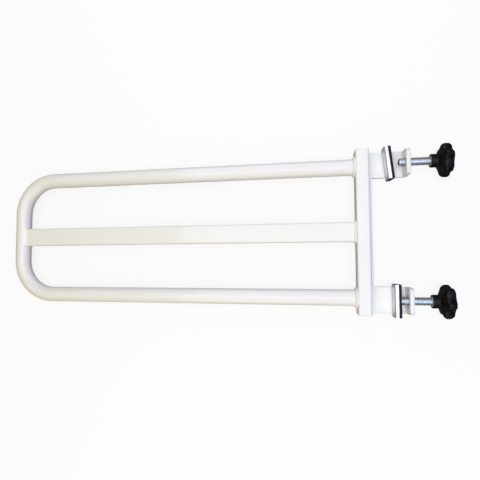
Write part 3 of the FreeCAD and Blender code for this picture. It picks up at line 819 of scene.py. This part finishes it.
# ---------------------------------------------------------------------------
# Knobs and inserts
# Black moulded six-lobed hand knobs: a round hub, a sloping back and a thick,
# well rounded rim. A turned steel bush is moulded in and shows at the hub's face.

LOBES = 6
KNOB_TURN = {"upper": math.radians(47.0), "lower": math.radians(11.4)}
HUB_RADIUS = 10 * MM
HUB_LENGTH = 9.4 * MM
HUB_BEVEL = 0.8 * MM
HUB_FILLET = 2 * MM
BACK_ANGLE = 67.6
SHOULDER = 6.5 * MM
RIM_RADIUS = 25 * MM
FRONT_SOFT = 6.6 * MM
CROWN = 0.7 * MM
VALLEY_RADIUS = 11 * MM
VALLEY_FLOOR = 18.3 * MM
VALLEY_START = 14.3 * MM
VALLEY_BLEND = 1.9 * MM
INSERT_RADIUS = 7.25 * MM
INSERT_BORE = 6.02 * MM
INSERT_BEVEL = 0.5 * MM
INSERT_STAND = 0.3 * MM
INSERT_SEEN = 3 * MM
SOCKET_DEPTH = 2 * MM
SOCKET_LIP = 0.3 * MM
STEPS_PER_LOBE = 28
BACK_SPANS = 6
KNOB_BLACK = (0.004, 0.0032, 0.0026, 1)
KNOB_SHEEN = (0.010, 0.008, 0.007, 1)
INSERT_STEEL = (0.78, 0.78, 0.78, 1)


def knob_material():
    finish = Finish("black_moulding", IOR=1.5)
    finish.set("Specular IOR Level", 0.0)
    finish.set("Coat Weight", 0.26)
    finish.set("Coat Roughness", 0.20)
    cloud = finish.ramp(finish.noise((70, 70, 70), 3.0), 0.4, 0.75)
    finish.set("Base Color", finish.mixed(cloud * 0.5, KNOB_BLACK, KNOB_SHEEN))
    finish.set("Roughness", 0.26 + cloud * 0.10)
    finish.bump(finish.noise((1500, 1500, 1500), 2.0), 0.08, 0.12 * MM)
    return finish.material


def lobe_limit(angle):
    """How far the knob reaches at an angle from the middle of a valley."""
    pitch = 2 * math.pi / LOBES
    off = (angle + pitch / 2) % pitch - pitch / 2
    centre = VALLEY_FLOOR + VALLEY_RADIUS
    inside = VALLEY_RADIUS ** 2 - (centre * math.sin(off)) ** 2
    if inside <= 0:
        return RIM_RADIUS
    valley = centre * math.cos(off) - math.sqrt(inside)
    gap = RIM_RADIUS - valley
    return RIM_RADIUS - (math.sqrt(gap ** 2 + VALLEY_BLEND ** 2) - VALLEY_BLEND
                         if gap > 0 else 0)


def make_knob(clamp, material):
    axis = joint_places[f"{clamp}_turn"]
    low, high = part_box(f"{clamp}_knob")
    face = low.x
    crown_edge = high.x - CROWN
    hub_end = face + HUB_LENGTH
    slope = math.radians(BACK_ANGLE)
    corner = hub_end + (RIM_RADIUS - HUB_RADIUS) / math.tan(slope)
    fillet_start = hub_end - HUB_FILLET * math.tan(slope / 2)
    shoulder_end = corner + SHOULDER * math.tan(slope / 2)
    front_start = crown_edge - FRONT_SOFT
    flat = RIM_RADIUS - FRONT_SOFT
    crown_radius = (flat ** 2 + CROWN ** 2) / (2 * CROWN)
    crown_angle = math.degrees(math.asin(flat / crown_radius))
    points = [(face + SOCKET_DEPTH, 0), (face + SOCKET_DEPTH, INSERT_RADIUS),
              (face + SOCKET_LIP, INSERT_RADIUS)]
    points += arc(face + HUB_BEVEL, HUB_RADIUS - HUB_BEVEL, HUB_BEVEL, 180, 90, steps=4)
    points += arc(fillet_start, HUB_RADIUS + HUB_FILLET, HUB_FILLET, 270, 270 + BACK_ANGLE,
                  steps=6)
    back = arc(shoulder_end, RIM_RADIUS - SHOULDER, SHOULDER, 90 + BACK_ANGLE, 90, steps=14)
    first, last = Vector(points[-1]), Vector(back[0])
    points += [tuple(first.lerp(last, span / BACK_SPANS)) for span in range(1, BACK_SPANS)]
    points += back
    points += arc(front_start, flat, FRONT_SOFT, 90, 0, steps=16)
    points += arc(high.x - crown_radius, 0, crown_radius, crown_angle, 0, steps=14)[1:]
    points[-1] = (high.x, 0)
    bm = turned(points, axis, LOBES * STEPS_PER_LOBE)
    for vert in bm.verts:
        out = vert.co - axis
        radius = math.hypot(out.y, out.z)
        if radius < VALLEY_START or vert.co.x < fillet_start:
            continue
        limit = lobe_limit(math.atan2(out.z, out.y) - KNOB_TURN[clamp])
        scaled = VALLEY_START + ((radius - VALLEY_START) * (limit - VALLEY_START)
                                 / (RIM_RADIUS - VALLEY_START))
        vert.co.y = axis.y + out.y / radius * scaled
        vert.co.z = axis.z + out.z / radius * scaled
    return shown(bm, f"{clamp}_lobed_knob", [f"{clamp}_knob"], f"{clamp}_screw_body",
                 material, sharp=50)


def insert_material():
    """Turned steel, a little rougher in fine rings round the axis."""
    finish = Finish("turned_steel", Metallic=1.0, Base_Color=INSERT_STEEL)
    finish.set("Roughness", 0.2 + finish.noise((4000, 300, 300)) * 0.15)
    return finish.material


def make_insert(clamp, material):
    axis = joint_places[f"{clamp}_turn"]
    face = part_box(f"{clamp}_knob")[0].x - INSERT_STAND
    points = [
        (face + INSERT_SEEN, INSERT_BORE), (face + INSERT_BEVEL, INSERT_BORE),
        (face, INSERT_BORE + INSERT_BEVEL), (face, INSERT_RADIUS - INSERT_BEVEL),
        (face + INSERT_BEVEL, INSERT_RADIUS), (face + INSERT_SEEN, INSERT_RADIUS),
        (face + INSERT_SEEN, INSERT_BORE)]
    return shown(turned(points, axis), f"{clamp}_insert_ring", [f"{clamp}_knob_insert"],
                 f"{clamp}_screw_body", material, sharp=20)


knob_black = knob_material()
insert_steel = insert_material()
for clamp in CLAMPS:
    make_knob(clamp, knob_black)
    make_insert(clamp, insert_steel)


# ---------------------------------------------------------------------------
# Sliding jaws
# A black moulded core straddles the bracket's arm with two hooked legs. A bright
# drawn steel shell covers its front and the side that grips the rail.

JAW_TILT = {"upper": math.radians(6.5), "lower": 0.0}
JAW_LENGTH = 49 * MM
JAW_WIDTH = 10.6 * MM
JAW_CROWN = 7.3 * MM
JAW_SHOULDER = 3.2 * MM
BAND_WIDTH = 4.7 * MM
SHELL_WALL = 1.5 * MM
SHELL_FOOT = 1 * MM
SHELL_EDGE = 0.25 * MM
SHELL_GAP = 0.05 * MM
CORE_EDGE = 0.4 * MM
END_STEPS = 2
LEG_EDGE = 0.5 * MM
LEG_ROOT = 0.5 * MM
LEG_WIDTH = 7.5 * MM
LEG_INSIDE = 21.3 * MM
HOOK_REACH = 2.8 * MM
HOOK_THICKNESS = 3 * MM
JAW_LIFT = 0.3 * MM
POCKET_RADIUS = 6.0 * MM
POCKET_FLOOR = 1.8 * MM
CORE_BLACK = (0.012, 0.011, 0.014, 1)
CORE_DUST = (0.035, 0.033, 0.040, 1)
JAW_STEEL = (0.84, 0.85, 0.88, 1)
JAW_STREAK = (0.40, 0.41, 0.45, 1)


def core_material():
    finish = Finish("dull_black_moulding")
    finish.set("Specular IOR Level", 0.2)
    dust = finish.ramp(finish.noise((240, 240, 240), 4.0), 0.5, 0.8)
    finish.set("Base Color", finish.mixed(dust * 0.6, CORE_BLACK, CORE_DUST))
    finish.set("Roughness", 0.42 + dust * 0.2)
    finish.bump(finish.noise((1200, 1200, 1200), 2.0), 0.2, 0.2 * MM)
    return finish.material


def jaw_material():
    """Drawn strip: long scratches run the length of the jaw."""
    finish = Finish("drawn_steel", Metallic=1.0)
    streak = finish.ramp(finish.noise((2200, 45, 2200), 3.0), 0.3, 0.75)
    fleck = finish.ramp(finish.noise((1100, 420, 1100), 2.0), 0.5, 0.72)
    finish.set("Base Color", finish.mixed(streak * 0.45 + fleck * 0.4, JAW_STEEL, JAW_STREAK))
    finish.set("Roughness", 0.36 + streak * 0.10 + fleck * 0.1)
    finish.bump(streak + fleck * 0.5, 0.18, 0.08 * MM)
    return finish.material


def extruded(outline, half, edge):
    """A closed (x, z) outline drawn out both ways along Y, its end edges softened."""
    bm = prism([(x, -half, z) for x, z in outline], (0, 2 * half, 0))
    bmesh.ops.recalc_face_normals(bm, faces=bm.faces)
    ends = [e for e in bm.edges if abs(e.verts[0].co.y - e.verts[1].co.y) < TINY]
    bevelled(bm, ends, edge, END_STEPS)
    return bm


def make_jaw(clamp, core, shell):
    pivot = joint_places[f"{clamp}_jaw_tilt"]
    bracket_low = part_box("clamp_bracket")[0]
    place = Matrix.Translation(pivot) @ Matrix.Rotation(JAW_TILT[clamp], 4, "Z")
    body = f"{clamp}_jaw_body"
    r = JAW_WIDTH / 2
    level = JAW_CROWN - JAW_SHOULDER
    across = r - JAW_SHOULDER
    band_edge = r - BAND_WIDTH
    bottom = bracket_low.z + PLATE + JAW_LIFT
    inner = r - SHELL_WALL
    shell_foot = bottom + SHELL_FOOT

    outside = [(band_edge, JAW_CROWN)] + arc(-across, level, JAW_SHOULDER, 90, 180, steps=12)
    inside = arc(-across, level, JAW_SHOULDER - SHELL_WALL, 180, 90, steps=8)
    inside.append((band_edge, JAW_CROWN - SHELL_WALL))
    outline = outside + [(-r, shell_foot), (-inner, shell_foot)] + inside
    bm = extruded(outline, JAW_LENGTH / 2, SHELL_EDGE)
    bmesh.ops.transform(bm, matrix=place, verts=bm.verts)
    shown(bm, f"{clamp}_jaw_steel_shell", [f"{clamp}_jaw_shell"], body, shell,
          sharp=30)

    band = arc(across, level, JAW_SHOULDER, 0, 90, steps=12)
    band += [(band_edge + SHELL_GAP, JAW_CROWN),
             (band_edge + SHELL_GAP, JAW_CROWN - SHELL_WALL - SHELL_GAP)]
    under = arc(-across, level, JAW_SHOULDER - SHELL_WALL - SHELL_GAP, 90, 180, steps=8)
    outline = [(-r, bottom), (r, bottom)] + band + under + [
        (-inner + SHELL_GAP, shell_foot - SHELL_GAP), (-r, shell_foot - SHELL_GAP)]
    main = bored(extruded(outline, JAW_LENGTH / 2, CORE_EDGE),
                 Vector((POCKET_FLOOR, 0, 0)), Vector((JAW_WIDTH, 0, 0)), POCKET_RADIUS)
    parts = [main]
    hook_top = bracket_low.z - JAW_LIFT
    hook_bottom = hook_top - HOOK_THICKNESS
    for side in (1, -1):
        profile = (
            (LEG_INSIDE, bottom + LEG_ROOT), (LEG_INSIDE, hook_top),
            (LEG_INSIDE - HOOK_REACH, hook_top), (LEG_INSIDE, hook_bottom),
            (JAW_LENGTH / 2, hook_bottom), (JAW_LENGTH / 2, bottom + LEG_ROOT))
        leg = prism([(-LEG_WIDTH / 2, y * side, z) for y, z in profile], (LEG_WIDTH, 0, 0))
        bmesh.ops.recalc_face_normals(leg, faces=leg.faces)
        bevelled(leg, leg.edges[:], LEG_EDGE, EDGE_STEPS)
        parts.append(leg)
    bm = merged(parts)
    bmesh.ops.transform(bm, matrix=place, verts=bm.verts)
    shown(bm, f"{clamp}_jaw_moulded_core", [f"{clamp}_jaw_core"], body, core,
          sharp=40)


core_black = core_material()
jaw_steel = jaw_material()
for clamp in CLAMPS:
    make_jaw(clamp, core_black, jaw_steel)
